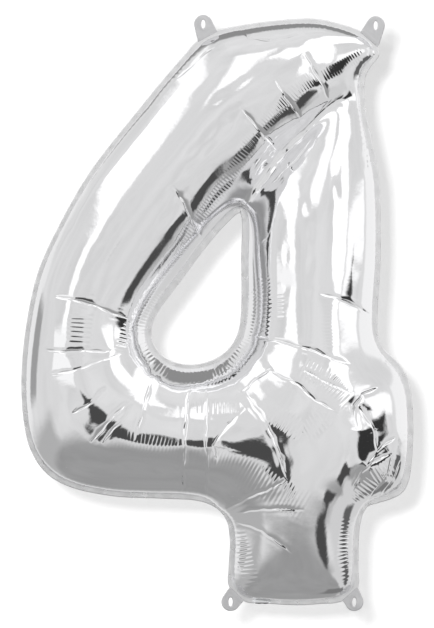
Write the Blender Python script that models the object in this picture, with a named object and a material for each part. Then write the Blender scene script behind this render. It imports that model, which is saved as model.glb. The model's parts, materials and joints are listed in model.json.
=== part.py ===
"""Inflated foil number balloon, the digit 4, as separate closed solids.

Metres, +Z up. The front faces -Y and the two films meet in the plane y = 0. The origin lies midway
between the holes of the two top tabs. Real film is about 0.05 mm thick; every thin layer here is a
thicker stand-in, so that each piece is a solid of its own with a clear gap to the next one.
"""

import math

import bmesh
import bpy
import numpy as np
from mathutils import Vector
from mathutils.geometry import delaunay_2d_cdt

# The cut edge of the films as (x, z), clockwise seen from the front, in four runs between the tabs.
# Each run is a smooth curve through its points, and a straight tab root joins one run to the next.
TOP_EDGE = [
    (-0.107, -0.008), (-0.065, 0.000), (-0.014, 0.0065), (0.039, 0.0085), (0.0785, 0.0), (0.105, -0.009),
]
RIGHT_SIDE = [
    (0.131, -0.031), (0.129, -0.050), (0.113, -0.070), (0.110, -0.112), (0.120, -0.166), (0.130, -0.215),
    (0.1335, -0.279), (0.133, -0.353), (0.129, -0.420), (0.130, -0.458), (0.143, -0.482), (0.162, -0.498),
    (0.176, -0.528), (0.181, -0.580), (0.179, -0.639), (0.170, -0.682), (0.144, -0.698), (0.114, -0.707),
    (0.104, -0.731), (0.101, -0.771), (0.101, -0.827),
]
FOOT_EDGE = [(0.079, -0.8465), (0.015, -0.8515), (-0.068, -0.8465)]
LEFT_SIDE = [
    (-0.089, -0.827), (-0.0895, -0.793), (-0.0875, -0.756), (-0.096, -0.720), (-0.124, -0.701),
    (-0.190, -0.695), (-0.256, -0.692), (-0.325, -0.677), (-0.359, -0.656), (-0.381, -0.621),
    (-0.391, -0.573), (-0.393, -0.507), (-0.385, -0.433), (-0.369, -0.363), (-0.340, -0.298),
    (-0.293, -0.216), (-0.222, -0.125), (-0.175, -0.068), (-0.135, -0.023),
]
# The cut edge of the hole of the 4, a closed smooth curve.
COUNTER_EDGE = [
    (-0.0725, -0.275), (-0.071, -0.348), (-0.0705, -0.411), (-0.076, -0.455), (-0.096, -0.483),
    (-0.131, -0.498), (-0.168, -0.496), (-0.194, -0.479), (-0.204, -0.452), (-0.196, -0.426),
    (-0.161, -0.378), (-0.118, -0.320), (-0.090, -0.289),
]

OUTER_STEP = 0.020
COUNTER_STEP = 0.014
GRID_STEP = 0.025
WALL_RING = 0.007

STROKE_HALF_WIDTH = 0.086
# Where strokes meet, the films can't rise as far as gas alone would push them. This length limits it.
HOLD_LENGTH = 0.080
# The fold where the diagonal stroke and the stem press on each other, as (x, z), half its width, and
# how strongly it holds the films down, in 1/m2.
CREASE_LINE = [(-0.075, -0.266), (-0.013, -0.190), (0.024, -0.156), (0.062, -0.119), (0.108, -0.072)]
CREASE_WIDTH = 0.021
CREASE_HOLD = 12000.0

SEAM_WIDTH = 0.0065
FILM_THICKNESS = 0.0005
SEAL_HALF_THICKNESS = 0.00065
LAYER_GAP = 0.0003
SEAL_INSET = 0.0004

TAB_HALF_THICKNESS = 0.00025
TAB_LOBE_RADIUS = 0.0135
TAB_HOLE_WIDTH = 0.006
TAB_HOLE_HEIGHT = 0.013
TAB_GAP = 0.00035
TAB_LOBES = {
    "top_left_tab": (-0.1265, 0.001),
    "top_right_tab": (0.1265, -0.001),
    "bottom_right_tab": (0.095, -0.847),
    "bottom_left_tab": (-0.0865, -0.847),
}

VALVE_X = -0.0405
VALVE_WIDTH = 0.027
VALVE_TOP = -0.7400
NECK_BOTTOM = -0.8480
NECK_TOP = -0.8340
NECK_PASSAGE_WIDTH = 0.0245
NECK_PASSAGE_HALF_DEPTH = 0.00035
INLET_WIDTH = 0.023
INLET_TOP = -0.8445
TONGUE_THICKNESS = 0.0003
TONGUE_Y = 0.00035

FRONT, BACK = -1, 1


def material(name, color, roughness, metallic):
    made = bpy.data.materials.new(name)
    made.use_nodes = True
    shader = made.node_tree.nodes["Principled BSDF"]
    shader.inputs["Base Color"].default_value = (*color, 1)
    shader.inputs["Roughness"].default_value = roughness
    shader.inputs["Metallic"].default_value = metallic
    return made


def clear_scene():
    for found in list(bpy.data.objects):
        bpy.data.objects.remove(found, do_unlink=True)


def add_object(name, mesh, finish, location=(0, 0, 0)):
    made = bpy.data.objects.new(name, mesh)
    made.location = location
    mesh.materials.append(finish)
    bpy.context.scene.collection.objects.link(made)
    return made


def mesh_from(bm, name):
    bmesh.ops.recalc_face_normals(bm, faces=bm.faces)
    mesh = bpy.data.meshes.new(name)
    bm.to_mesh(mesh)
    bm.free()
    return mesh


def curve_through(points, closed=False):
    """A dense centripetal Catmull-Rom curve through the points."""
    known = [np.array(point, float) for point in points]
    if closed:
        known = [known[-1], *known, known[0], known[1]]
    else:
        known = [2 * known[0] - known[1], *known, 2 * known[-1] - known[-2]]
    dense = []
    for a, b, c, d in zip(known, known[1:], known[2:], known[3:]):
        t1 = math.sqrt(np.linalg.norm(b - a))
        t2 = t1 + math.sqrt(np.linalg.norm(c - b))
        t3 = t2 + math.sqrt(np.linalg.norm(d - c))
        for t in np.linspace(t1, t2, 24, endpoint=False):
            ab = a + (b - a) * t / t1
            bc = b + (c - b) * (t - t1) / (t2 - t1)
            cd = c + (d - c) * (t - t2) / (t3 - t2)
            abc = ab + (bc - ab) * t / t2
            bcd = bc + (cd - bc) * (t - t1) / (t3 - t1)
            dense.append(abc + (bcd - abc) * (t - t1) / (t2 - t1))
    if closed:
        return np.array([*dense, dense[0]])
    return np.array([*dense, known[-2]])


def evenly_spaced(dense, step):
    """Points at even distances along a dense curve, both ends included."""
    along = np.concatenate([[0], np.cumsum(np.linalg.norm(np.diff(dense, axis=0), axis=1))])
    stations = np.linspace(0, along[-1], max(2, round(along[-1] / step)) + 1)
    return np.column_stack([np.interp(stations, along, dense[:, axis]) for axis in (0, 1)])


def outer_loop():
    """The films' outer cut edge, clockwise, with one straight side for each tab root."""
    runs = (TOP_EDGE, RIGHT_SIDE, FOOT_EDGE, LEFT_SIDE)
    return np.concatenate([evenly_spaced(curve_through(run), OUTER_STEP) for run in runs])


def counter_loop():
    """The cut edge of the hole, clockwise."""
    return evenly_spaced(curve_through(COUNTER_EDGE, closed=True), COUNTER_STEP)[:-1]


def offset_loop(loop, distance):
    """The loop moved to its right, which is inwards for a clockwise outer loop."""
    before = loop - np.roll(loop, 1, axis=0)
    after = np.roll(loop, -1, axis=0) - loop
    before /= np.linalg.norm(before, axis=1)[:, None]
    after /= np.linalg.norm(after, axis=1)[:, None]
    right_before = np.column_stack([before[:, 1], -before[:, 0]])
    right_after = np.column_stack([after[:, 1], -after[:, 0]])
    bisector = right_before + right_after
    bisector /= np.linalg.norm(bisector, axis=1)[:, None]
    miter = np.clip((bisector * right_after).sum(axis=1), 0.5, 1)
    return loop + bisector * (distance / miter)[:, None]


def inside(points, loop):
    """Which points lie inside the closed loop."""
    found = np.zeros(len(points), bool)
    for (x1, z1), (x2, z2) in zip(loop, np.roll(loop, -1, axis=0)):
        crosses = (z1 > points[:, 1]) != (z2 > points[:, 1])
        slope = (x2 - x1) / (z2 - z1) if z1 != z2 else 0.0
        found ^= crosses & (points[:, 0] < x1 + slope * (points[:, 1] - z1))
    return found


def hexagonal_grid(outer, counter):
    """Grid points well inside the outer loop and well outside the counter loop."""
    low = outer.min(axis=0)
    high = outer.max(axis=0)
    rows = []
    row_step = GRID_STEP * math.sqrt(3) / 2
    for row in range(int((high[1] - low[1]) / row_step) + 1):
        shift = GRID_STEP / 2 if row % 2 else 0
        for x in np.arange(low[0] + shift, high[0], GRID_STEP):
            rows.append((x, low[1] + row * row_step))
    points = np.array(rows)
    points = points[inside(points, outer) & ~inside(points, counter)]
    edge = np.concatenate([outer, counter])
    clearance = np.linalg.norm(points[:, None] - edge[None], axis=2).min(axis=1)
    return points[clearance > 0.5 * GRID_STEP]


def loop_edges(start, count):
    return [(start + i, start + (i + 1) % count) for i in range(count)]


def flat_sheet():
    """(points, triangles, welded): the flat film, and which points the weld holds in the seam plane."""
    outer = outer_loop()
    counter = counter_loop()
    outer_weld = offset_loop(outer, SEAM_WIDTH)
    counter_weld = offset_loop(counter, -SEAM_WIDTH)
    outer_wall = offset_loop(outer_weld, WALL_RING)
    counter_wall = offset_loop(counter_weld, -WALL_RING)
    loops = [outer, outer_weld, counter_weld, counter, outer_wall, counter_wall]
    welded = sum(len(loop) for loop in loops[:4])
    edges = []
    start = 0
    for loop in loops[:4]:
        edges += loop_edges(start, len(loop))
        start += len(loop)
    points = np.concatenate([*loops, hexagonal_grid(outer_wall, counter_wall)])
    made = delaunay_2d_cdt([Vector(point) for point in points], edges, [], 0, 1e-7)
    points = np.array([tuple(point) for point in made[0]])
    triangles = np.array([tuple(face) for face in made[2]])
    centres = points[triangles].mean(axis=1)
    kept = inside(centres, outer) & ~inside(centres, counter)
    source = np.array([min(ids) if ids else len(points) for ids in made[3]])
    return points, triangles[kept], source < welded


def distance_to_line(points, line):
    """Distance from each point to the nearest place on an open line of straight parts."""
    found = np.full(len(points), np.inf)
    for start, end in zip(np.array(line), np.array(line[1:])):
        along = end - start
        share = np.clip((points - start) @ along / (along @ along), 0, 1)
        found = np.minimum(found, np.linalg.norm(points - start - share[:, None] * along, axis=1))
    return found


def swell(points, triangles, welded):
    """Depth of each film at each point.

    It solves laplace(u) - hold * u = -1 inside the welds and takes a multiple of sqrt(u), where hold is
    1 / HOLD_LENGTH ** 2 and more along the crease. That turns a long strip of the stroke's width into
    a round tube, blends the tubes where the strokes of the digit meet, and parts two of them at the
    crease.
    """
    crease = np.exp(-((distance_to_line(points, CREASE_LINE) / CREASE_WIDTH) ** 2))
    hold = 1 / HOLD_LENGTH**2 + CREASE_HOLD * crease
    stiffness = np.zeros((len(points), len(points)))
    load = np.zeros(len(points))
    for triangle in triangles:
        corners = points[triangle]
        opposite = np.roll(corners, -1, axis=0) - np.roll(corners, 1, axis=0)
        area = abs(opposite[0, 0] * opposite[1, 1] - opposite[0, 1] * opposite[1, 0]) / 2
        stiffness[np.ix_(triangle, triangle)] += opposite @ opposite.T / (4 * area)
        stiffness[triangle, triangle] += area / 3 * hold[triangle]
        load[triangle] += area / 3
    free = ~welded
    raised = np.zeros(len(points))
    raised[free] = np.linalg.solve(stiffness[np.ix_(free, free)], load[free])
    strip = HOLD_LENGTH**2 * (1 - 1 / math.cosh(STROKE_HALF_WIDTH / HOLD_LENGTH))
    return STROKE_HALF_WIDTH * np.sqrt(np.maximum(raised, 0) / strip)


def film_mesh(name, sheet, side):
    """The film's inner surface, its outward side turned away from the seam plane."""
    points, triangles, depth = sheet
    bm = bmesh.new()
    rest = SEAL_HALF_THICKNESS + LAYER_GAP
    corners = [bm.verts.new((x, side * (rest + d), z)) for (x, z), d in zip(points, depth)]
    for a, b, c in triangles:
        bm.faces.new((corners[a], corners[b], corners[c]))
    for face in bm.faces:
        face.smooth = True
    bm.normal_update()
    if sum(face.normal.y * side for face in bm.faces) < 0:
        bmesh.ops.reverse_faces(bm, faces=bm.faces)
    mesh = bpy.data.meshes.new(name)
    bm.to_mesh(mesh)
    bm.free()
    return mesh


def add_film(name, sheet, side, finish):
    film = add_object(name, film_mesh(name, sheet, side), finish)
    wall = film.modifiers.new("wall", "SOLIDIFY")
    wall.thickness = FILM_THICKNESS
    wall.offset = 1
    return film


def box_mesh(name, low, high):
    bm = bmesh.new()
    bmesh.ops.create_cube(bm, size=1)
    for vertex in bm.verts:
        for axis in range(3):
            middle = (low[axis] + high[axis]) / 2
            vertex.co[axis] = middle + vertex.co[axis] * (high[axis] - low[axis])
    return mesh_from(bm, name)


def hide(cutter):
    cutter.hide_render = True
    cutter.display_type = "WIRE"


def cut(target, cutter):
    hide(cutter)
    difference = target.modifiers.new("cut", "BOOLEAN")
    difference.operation = "DIFFERENCE"
    difference.object = cutter


def band_mesh(name, first, second, half_thickness):
    """A closed flat ring between two loops of the same number of points."""
    bm = bmesh.new()
    rings = []
    for loop, y in ((first, -1), (second, -1), (second, 1), (first, 1)):
        rings.append([bm.verts.new((x, y * half_thickness, z)) for x, z in loop])
    count = len(first)
    for ring, following in zip(rings, [*rings[1:], rings[0]]):
        for i in range(count):
            after = (i + 1) % count
            bm.faces.new((ring[i], ring[after], following[after], following[i]))
    return mesh_from(bm, name)


def add_seals(finish):
    outer = outer_loop()
    counter = counter_loop()
    outer_band = (offset_loop(outer, SEAL_INSET), offset_loop(outer, SEAM_WIDTH))
    counter_band = (offset_loop(counter, -SEAL_INSET), offset_loop(counter, -SEAM_WIDTH))
    outer_mesh = band_mesh("outer_heat_seal", *outer_band, SEAL_HALF_THICKNESS)
    seal = add_object("outer_heat_seal", outer_mesh, finish)
    half = VALVE_WIDTH / 2 + LAYER_GAP
    low = (VALVE_X - half, -0.005, NECK_BOTTOM - 0.010)
    high = (VALVE_X + half, 0.005, NECK_TOP)
    cut(seal, add_object("seal_break_cutter", box_mesh("seal_break_cutter", low, high), finish))
    counter_mesh = band_mesh("counter_heat_seal", *counter_band, SEAL_HALF_THICKNESS)
    add_object("counter_heat_seal", counter_mesh, finish)


def tab_outline(lobe, root_start, root_end):
    """The tab's edge: a round lobe with straight sides tangent to it that run to the two root ends."""

    def tangent_angle(end, turn):
        away = end - lobe
        return math.atan2(away[1], away[0]) + turn * math.acos(TAB_LOBE_RADIUS / np.linalg.norm(away))

    first = tangent_angle(root_start, -1)
    last = tangent_angle(root_end, 1)
    sweep = (first - last) % math.tau
    angles = [first - sweep * i / 20 for i in range(21)]
    arc = [lobe + TAB_LOBE_RADIUS * np.array([math.cos(angle), math.sin(angle)]) for angle in angles]
    return [root_start, *arc, root_end]


def prism_mesh(name, outline, half_thickness):
    bm = bmesh.new()
    face = bm.faces.new([bm.verts.new((x, -half_thickness, z)) for x, z in outline])
    raised = bmesh.ops.extrude_face_region(bm, geom=[face])
    moved = [item for item in raised["geom"] if isinstance(item, bmesh.types.BMVert)]
    bmesh.ops.translate(bm, verts=moved, vec=(0, 2 * half_thickness, 0))
    return mesh_from(bm, name)


def add_tab(name, root_start, root_end, finish):
    """One tab, its origin on its fold line, with a tall oval hole at the middle of its lobe."""
    middle = (root_start + root_end) / 2
    along = (root_end - root_start) / np.linalg.norm(root_end - root_start)
    outwards = np.array([-along[1], along[0]])
    lobe = np.array(TAB_LOBES[name]) - middle
    ends = [end - middle + outwards * TAB_GAP for end in (root_start, root_end)]
    outline = tab_outline(lobe, *ends)
    place = (middle[0], 0, middle[1])
    tab = add_object(name, prism_mesh(name, outline, TAB_HALF_THICKNESS), finish, place)
    oval = []
    for i in range(24):
        angle = math.tau * i / 24
        reach = np.array([TAB_HOLE_WIDTH * math.cos(angle), TAB_HOLE_HEIGHT * math.sin(angle)]) / 2
        oval.append(lobe + reach)
    cutter = prism_mesh(name + "_hole_cutter", oval, 4 * TAB_HALF_THICKNESS)
    cut(tab, add_object(name + "_hole_cutter", cutter, finish, place))


def add_tabs(finish):
    runs = [TOP_EDGE, RIGHT_SIDE, FOOT_EDGE, LEFT_SIDE]
    roots = {
        "top_left_tab": (runs[3][-1], runs[0][0]),
        "top_right_tab": (runs[0][-1], runs[1][0]),
        "bottom_right_tab": (runs[1][-1], runs[2][0]),
        "bottom_left_tab": (runs[2][-1], runs[3][0]),
    }
    for name, (start, end) in roots.items():
        add_tab(name, np.array(start), np.array(end), finish)


def add_inlet_notch(front_film):
    """The front film stops short at the inlet and shows the coated valve neck behind it."""
    low = (VALVE_X - INLET_WIDTH / 2, -0.010, NECK_BOTTOM - 0.015)
    high = (VALVE_X + INLET_WIDTH / 2, -SEAL_HALF_THICKNESS - LAYER_GAP / 2, INLET_TOP)
    finish = front_film.data.materials[0]
    cut(front_film, add_object("inlet_notch_cutter", box_mesh("inlet_notch_cutter", low, high), finish))


def add_valve(ply_finish, coating_finish):
    half = VALVE_WIDTH / 2
    low = (VALVE_X - half, -SEAL_HALF_THICKNESS, NECK_BOTTOM)
    high = (VALVE_X + half, SEAL_HALF_THICKNESS, NECK_TOP - LAYER_GAP)
    neck = add_object("valve_neck", box_mesh("valve_neck", low, high), ply_finish)
    half_passage = NECK_PASSAGE_WIDTH / 2
    low = (VALVE_X - half_passage, -NECK_PASSAGE_HALF_DEPTH, NECK_BOTTOM - 0.005)
    high = (VALVE_X + half_passage, NECK_PASSAGE_HALF_DEPTH, NECK_TOP + 0.005)
    cut(neck, add_object("neck_passage_cutter", box_mesh("neck_passage_cutter", low, high), ply_finish))
    half_inlet = INLET_WIDTH / 2
    low = (VALVE_X - half_inlet, -NECK_PASSAGE_HALF_DEPTH + LAYER_GAP, NECK_BOTTOM)
    high = (VALVE_X + half_inlet, NECK_PASSAGE_HALF_DEPTH - LAYER_GAP, NECK_TOP - LAYER_GAP)
    add_object("valve_release_coating", box_mesh("valve_release_coating", low, high), coating_finish)
    length = VALVE_TOP - NECK_TOP
    for name, side in (("valve_front_tongue", FRONT), ("valve_back_tongue", BACK)):
        low = (-half, -TONGUE_THICKNESS / 2, 0)
        high = (half, TONGUE_THICKNESS / 2, length)
        add_object(name, box_mesh(name, low, high), ply_finish, (VALVE_X, side * TONGUE_Y, NECK_TOP))


def build():
    clear_scene()
    foil = material("silver_foil", (0.82, 0.82, 0.83), 0.08, 1.0)
    bead = material("weld_bead", (0.70, 0.70, 0.71), 0.35, 0.6)
    tab_film = material("tab_film", (0.62, 0.62, 0.63), 0.35, 0.8)
    ply = material("valve_ply", (0.86, 0.87, 0.88), 0.30, 0.0)
    coating = material("release_coating", (0.06, 0.06, 0.07), 0.55, 0.0)
    points, triangles, welded = flat_sheet()
    sheet = (points, triangles, swell(points, triangles, welded))
    front_film = add_film("front_film", sheet, FRONT, foil)
    add_inlet_notch(front_film)
    add_film("back_film", sheet, BACK, foil)
    add_seals(bead)
    add_tabs(tab_film)
    add_valve(ply, coating)


build()
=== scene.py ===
"""Looks of the foil number balloon: two inflated films, their welds, four hanging tabs and the valve."""

import json
import math
from functools import cache

import bpy
import numpy as np
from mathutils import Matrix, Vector
from mathutils.geometry import delaunay_2d_cdt


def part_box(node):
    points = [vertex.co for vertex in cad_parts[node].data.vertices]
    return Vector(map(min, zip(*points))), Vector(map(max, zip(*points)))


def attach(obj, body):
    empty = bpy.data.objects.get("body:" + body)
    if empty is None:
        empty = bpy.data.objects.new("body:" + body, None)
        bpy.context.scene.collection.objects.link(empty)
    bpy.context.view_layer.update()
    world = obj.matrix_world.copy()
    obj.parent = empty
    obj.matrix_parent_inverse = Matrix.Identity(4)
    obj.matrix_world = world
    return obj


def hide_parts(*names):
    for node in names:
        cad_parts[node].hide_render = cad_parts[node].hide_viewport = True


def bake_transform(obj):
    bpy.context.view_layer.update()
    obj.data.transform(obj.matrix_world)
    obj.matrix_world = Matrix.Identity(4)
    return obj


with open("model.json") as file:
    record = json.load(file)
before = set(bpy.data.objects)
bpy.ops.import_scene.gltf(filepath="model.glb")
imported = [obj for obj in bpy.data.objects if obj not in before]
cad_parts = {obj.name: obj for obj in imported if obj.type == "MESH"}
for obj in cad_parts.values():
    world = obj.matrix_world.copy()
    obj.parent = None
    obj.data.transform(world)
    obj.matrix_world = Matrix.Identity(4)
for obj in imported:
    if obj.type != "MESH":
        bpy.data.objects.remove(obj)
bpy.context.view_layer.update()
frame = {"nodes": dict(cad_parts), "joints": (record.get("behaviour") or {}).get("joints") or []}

# ---------------------------------------------------------------- driving values, metres

STROKE_HALF_WIDTH = 0.086   # half the width of a stroke of the number, which sets the tube's height
HOLD_LENGTH = 0.080         # how far a weld keeps the film down, along the film
VALLEY_WIDTH = 0.021        # half width of the fold between the diagonal and the stem
VALLEY_HOLD = 12000.0       # how strongly that fold keeps the film down, in 1/m2
VALLEY_CEILING_WIDTH = 0.014
SAME_POINT = 1e-5           # points of a CAD mesh closer than this are one

COARSE = 0.020              # spacing of the height field
COARSE_CLEARANCE = 0.016
COARSE_RING = 0.0065        # the first points inside a weld are this far from it
COARSE_OUTER_STEP = 0.018
COARSE_COUNTER_STEP = 0.013
LATTICE = 0.008             # spacing of the film that is simulated
LONGEST_EDGE = 0.013        # a longer edge of the lattice, on the inflated film, is halved
HALVINGS = 2
FLATTEN_STAGES = 70         # the film is laid flat in this many stages, and is at full size after 50
FULL_SIZE_STAGE = 50
UNFOLD_PASSES = 60

INFLATE_STEPS = 150
PRESSURE = 0.00002 * LATTICE / 0.006    # outward speed that each step adds
SPEED_KEPT = 0.96           # share of its speed that a point keeps from one step to the next
LONGEST_MOVE = 0.002        # the furthest that a point moves in one step
BEND_STIFFNESS = 0.06
BEND_SPARE = 1.02
START_NOISE = 0.003         # height of the random waves from which wrinkles grow
COUNTER_SMOOTH = 0.040      # the film this near the counter is smoothed once more

SOFT_WIDTH = 0.004          # a crease narrower than this is sharp
FOLD_SCALE = 0.62           # share of its listed width and depth that a sharp crease gets
KINK_REACH = 0.017          # how far the tube's bend reaches on each side of a crease
KINK_SCALE = 1.2
RIPPLE_SHARE = 0.28         # height of the ripples beside a crease, as a share of its depth
RIPPLE_PITCH = 0.95         # their pitch and reach, in the crease's widths
RIPPLE_REACH = 3.2
SEAM_PUCKER_RISE = 0.015    # height above the weld at which its gathers are deepest
OUTER_PUCKERS = (0.0085, 0.00022, 0.012)    # gathers at the outer weld: period, height and reach
COUNTER_PUCKERS = (0.0048, 0.00034, 0.019)
COUNTER_FOOT = -0.39        # below this the counter's edge has gathers, and a finer mesh

FLANGE_WIDTH = 0.0065       # width of the weld outside the film's edge
FILM_LOOK_THICKNESS = 0.0004
VALVE_MOUTH = (-0.0405, -0.845)
TAB_NAMES = ("top_left_tab", "top_right_tab", "bottom_right_tab", "bottom_left_tab")
TAB_THICKNESS = 0.00046
TAB_STEP = 0.0016           # spacing of a tab's mesh
TAB_HOLE_STEP = 0.0012
TAB_ROOT_TUCK = 0.0030      # a tab's root goes this far under the weld
MARK_TOP = -0.8448          # the dark mark at the inlet
MARK_BOTTOM = -0.8497
MARK_COLUMNS = 24

CAMERA_AIM = (-0.1064, 0.0, -0.4245)
CAMERA_DISTANCE = 3.2
VIEW_HEIGHT = 0.9217
WALL_Y = 0.135
FLOOR_Z = -0.93
KEY_PLACE = (-0.58, -3.0, 0.06)
KEY_AIM = (-0.1, 0, -0.45)
KEY_POWER = 88
KEY_SIZE = 0.42

# The fold between the diagonal and the stem, from the counter's tip to the notch at the top right.
VALLEY = ((-0.075, -0.266), (-0.013, -0.190), (0.024, -0.156), (0.062, -0.119), (0.108, -0.072))

# Spare film beside the corners, as fans: centre x, z, direction and half width in degrees,
# inner and outer radius, and spare length as a share.
FANS = (
    (-0.194, -0.463, 192, 62, 0.012, 0.170, 0.045),
    (-0.139, -0.433, 270, 75, 0.030, 0.135, 0.06),
    (-0.073, -0.470, -38, 48, 0.010, 0.160, 0.05),
    (-0.073, -0.275, 110, 40, 0.008, 0.120, 0.04),
    (-0.099, -0.715, 0, 55, 0.006, 0.130, 0.05),
    (0.108, -0.705, 110, 75, 0.006, 0.100, 0.06),
    (0.112, -0.074, 215, 30, 0.008, 0.130, 0.04),
    (0.130, -0.460, 205, 40, 0.008, 0.060, 0.04),
)


# Creases of both films, in millimetres: depth, half width of the groove,
# depth of the wider bend, and the line's points (x, z).
FOLDS = (
    (2.2, 2.4, 2, ((-341, -400), (-307, -404), (-272, -416), (-226, -434))),
    (2.2, 2.4, 2, ((-358, -477), (-307, -477), (-255, -476))),
    (1.4, 2.2, 1.2, ((-351, -511), (-322, -508), (-278, -493), (-240, -480))),
    (1.2, 2.2, 1.2, ((-316, -567), (-285, -551), (-263, -526))),
    (2, 2.4, 1.6, ((-288, -608), (-260, -577), (-230, -545))),
    (1.2, 2, 0.8, ((-272, -609), (-246, -580), (-225, -550))),
    (2.2, 2.6, 2, ((-144, -520), (-150, -558), (-153, -609), (-156, -690))),
    (1.4, 2.2, 1.2, ((-121, -530), (-124, -595), (-120, -646), (-124, -692))),
    (2.4, 2.6, 2, ((-56, -456), (-14, -464), (23, -473), (85, -497))),
    (1.2, 2.2, 1, ((12, -502), (45, -518), (85, -538))),
    (1.8, 2.6, 1.6, ((-28, -500), (-51, -515), (-70, -537))),
    (2, 2.6, 2, ((-70, -532), (-46, -565), (-26, -599), (-6, -660))),
    (1.8, 2.4, 1.6, ((-36, -502), (8, -524), (33, -546), (66, -564))),
    (2, 2.4, 1.6, ((38, -396), (67, -401), (89, -411), (118, -427))),
    (2, 2.6, 2, ((126, -531), (101, -539), (90, -555), (93, -590))),
    (2.2, 2.6, 2, ((150, -622), (121, -634), (101, -653), (86, -680))),
    (1.4, 2.2, 1, ((147, -627), (142, -651), (130, -671), (112, -695))),
    (1.2, 2.2, 1, ((159, -636), (150, -665), (130, -693))),
    (1.8, 2.4, 1.4, ((-94, -707), (-55, -684), (-8, -660))),
    (1.4, 2.4, 1.2, ((-90, -716), (-40, -702), (18, -702))),
    (1.4, 2.4, 1.2, ((-88, -724), (-43, -734), (2, -766))),
    (1.8, 2.4, 1.6, ((-24, -88), (-5, -115), (14, -141))),
    (2, 2.6, 2, ((-74, -128), (-46, -159), (-16, -190))),
    (1.8, 2.4, 2, ((-170, -240), (-153, -265), (-142, -287), (-128, -315))),
    (2.2, 2.6, 2.4, ((18, -48), (30, -63), (43, -87), (56, -114))),
    (1.8, 2.4, 1.6, ((-58, -265), (-32, -225), (-7, -191), (33, -152))),
    (1.6, 2.4, 1.2, ((-40, -247), (-17, -225), (4, -206), (36, -166))),
    (1, 2.4, 1, ((112, -100), (114, -140), (112, -225))),
    (1.2, 2.2, 0.8, ((-100, -30), (-130, -52), (-165, -85))),
    (1.2, 3, 1.2, ((-72, -6), (-60, -26), (-30, -30), (20, -18))),
    (1.4, 3.4, 1.6, ((96, -552), (120, -592), (128, -632))),
    (1.2, 3.2, 1.4, ((108, -642), (132, -612), (156, -600))),
    (1.6, 2.6, 1.8, ((-66, -558), (-92, -580), (-112, -612), (-106, -642))),
    (1.4, 2.4, 1.4, ((-200, -520), (-212, -560), (-222, -606))),
)

# Bands of fine ribs: steepness, then in millimetres the period, half width of the band,
# and its middle line.
RIBS = (
    (0.17, 4.6, 13, ((-158, -322), (-105, -250), (-58, -184))),
    (0.17, 4.3, 14, ((-70, -188), (-30, -142), (10, -102), (40, -80))),
    (0.18, 4.3, 12, ((40, -86), (80, -62), (110, -40))),
    (0.07, 5.2, 20, ((-262, -601), (-205, -609), (-150, -625))),
    (0.07, 5.2, 18, ((-150, -621), (-109, -630), (-66, -645))),
    (0.16, 5.8, 30, ((-85, -640), (-35, -668), (23, -700))),
    (0.20, 5.8, 15, ((-213, -455), (-194, -494), (-161, -514), (-124, -518),
                           (-86, -506), (-62, -472))),
    (0.26, 6, 12, ((-40, -365), (-37, -419), (-36, -462))),
    (0.22, 6, 12, ((-22, -392), (-19, -436))),
    (0.20, 6.2, 22, ((-300, -418), (-302, -472))),
    (0.26, 5.8, 10, ((-231, -430), (-246, -480))),
    (0.12, 5, 12, ((51, -400), (52, -480))),
    (0.26, 6.2, 20, ((10, -497), (52, -518), (85, -552))),
    (0.26, 6.2, 20, ((-32, -562), (15, -592), (50, -570))),
    (0.24, 5.8, 18, ((152, -640), (118, -662), (90, -700))),
    (0.22, 4.4, 12, ((-75, -8), (-14, -4), (45, -7))),
    (0.16, 6.2, 12, ((-145, -557), (-68, -558))),
    (0.26, 5.8, 16, ((-80, -735), (-62, -790), (-55, -825))),
    (0.30, 5.8, 12, ((82, -715), (74, -770), (80, -820))),
)

# Long shallow creases along the strokes, as left by the folded balloon's pack, listed like FOLDS.
SOFT_FOLDS = (
    (0.9, 6, 0, ((-120, -132), (-75, -98), (-35, -70))),
    (0.9, 5.5, 0, ((-153, -205), (-110, -160), (-68, -125))),
    (0.8, 5, 0, ((-165, -245), (-120, -190), (-72, -140))),
    (0.9, 7, 0, ((-335, -330), (-300, -250), (-255, -180))),
    (0.9, 6.5, 0, ((-300, -375), (-260, -310), (-205, -240))),
    (0.7, 6, 0, ((-290, -215), (-240, -150), (-185, -100))),
    (0.9, 6, 0, ((20, -250), (28, -330), (22, -400))),
    (0.8, 5.5, 0, ((62, -200), (68, -290), (64, -380))),
    (0.7, 5, 0, ((95, -230), (98, -310), (90, -390))),
    (0.9, 6, 0, ((-10, -300), (-8, -360), (-12, -420))),
    (0.9, 7, 0, ((85, -590), (80, -640), (83, -690))),
    (0.8, 6, 0, ((30, -600), (50, -570), (58, -560))),
    (0.8, 6, 0, ((-250, -640), (-190, -650), (-165, -652))),
    (1, 6, 0, ((-215, -335), (-160, -262), (-110, -205))),
)


def in_metres(line):
    return tuple((x / 1000, z / 1000) for x, z in line)


CREASES = [
    (depth / 1000, width / 1000, kink / 1000, in_metres(line))
    for depth, width, kink, line in FOLDS + SOFT_FOLDS
]
RIB_BANDS = [(slope, period / 1000, half / 1000, in_metres(line)) for slope, period, half, line in RIBS]


# ---------------------------------------------------------------- plane geometry

def smoothstep(value, low, high):
    part = np.clip((value - low) / (high - low), 0, 1)
    return part * part * (3 - 2 * part)


def walked(chain):
    """Length along a chain of points, at each of them."""
    return np.concatenate([[0], np.cumsum(np.linalg.norm(np.diff(chain, axis=0), axis=1))])


def resample(loop, step):
    """Points at even spacing along a closed loop."""
    closed = np.vstack([loop, loop[:1]])
    along = walked(closed)
    count = max(8, round(along[-1] / step))
    places = np.linspace(0, along[-1], count + 1)[:-1]
    return np.column_stack([np.interp(places, along, closed[:, k]) for k in range(loop.shape[1])])


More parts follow.
